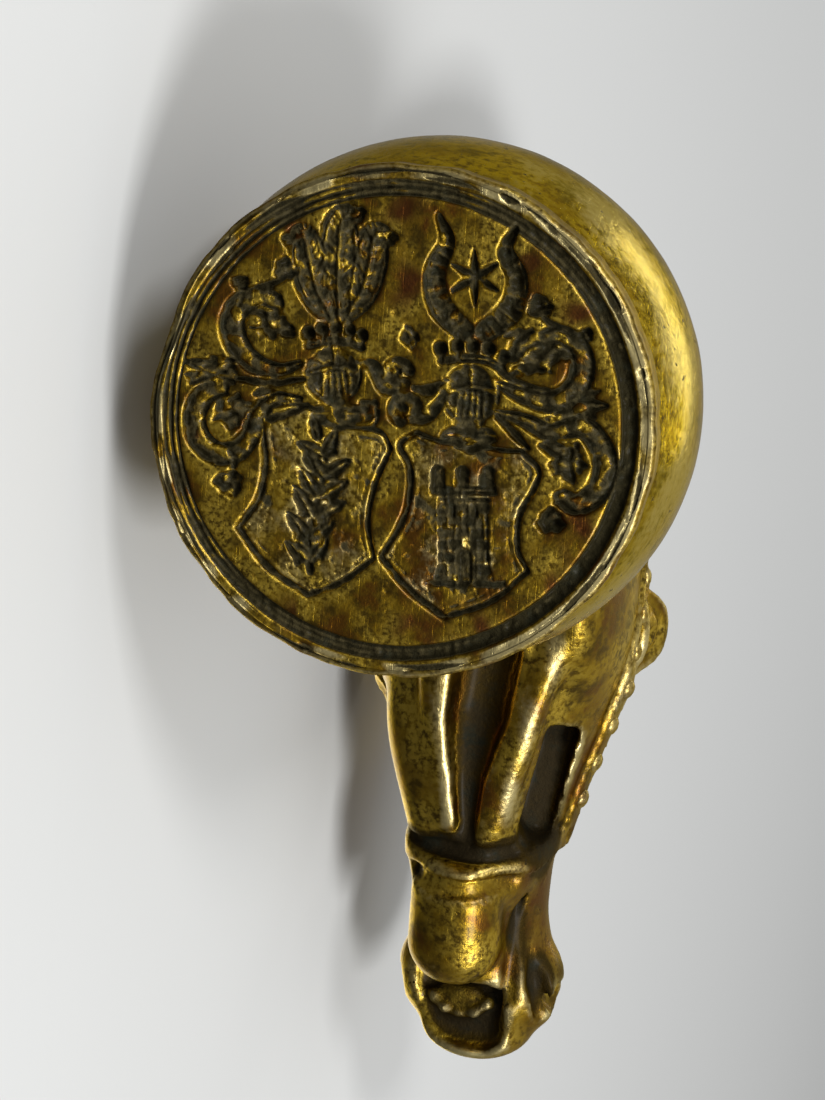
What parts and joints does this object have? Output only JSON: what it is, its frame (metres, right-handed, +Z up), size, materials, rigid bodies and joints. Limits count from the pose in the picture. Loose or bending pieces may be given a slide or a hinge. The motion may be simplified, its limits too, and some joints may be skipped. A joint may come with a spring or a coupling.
{
  "type": "seal matrix",
  "caption": "Hand seal for wax: an engraved round brass die under a turned cushion foot, with a cast and bridled horse's head as the handle.",
  "frame": {"origin": "centre of the sealing face, on the plane that presses the wax", "axes": "+Z up along the seal's axis, away from the sealing face; -Y towards the horse's nose; +X towards the horse's left"},
  "size_m": [0.0288, 0.0634, 0.0596],
  "materials": {
    "engraved_brass": "hand-engraved, worn, dark patina in the cuts",
    "polished_brass": "turned and handled bright, lightly toned",
    "cast_brass": "cast and chased, bright on the ridges, dark in the recesses",
    "iron": "plain filed iron, hidden"
  },
  "bodies": {
    "root": {"matrix_plate": "engraved_brass", "foot_dome": "polished_brass", "neck_collar": "polished_brass", "horse_head": "cast_brass", "central_stud": "iron", "die_dowel": "iron", "neck_dowel": "iron"}
  },
  "joints": []
}
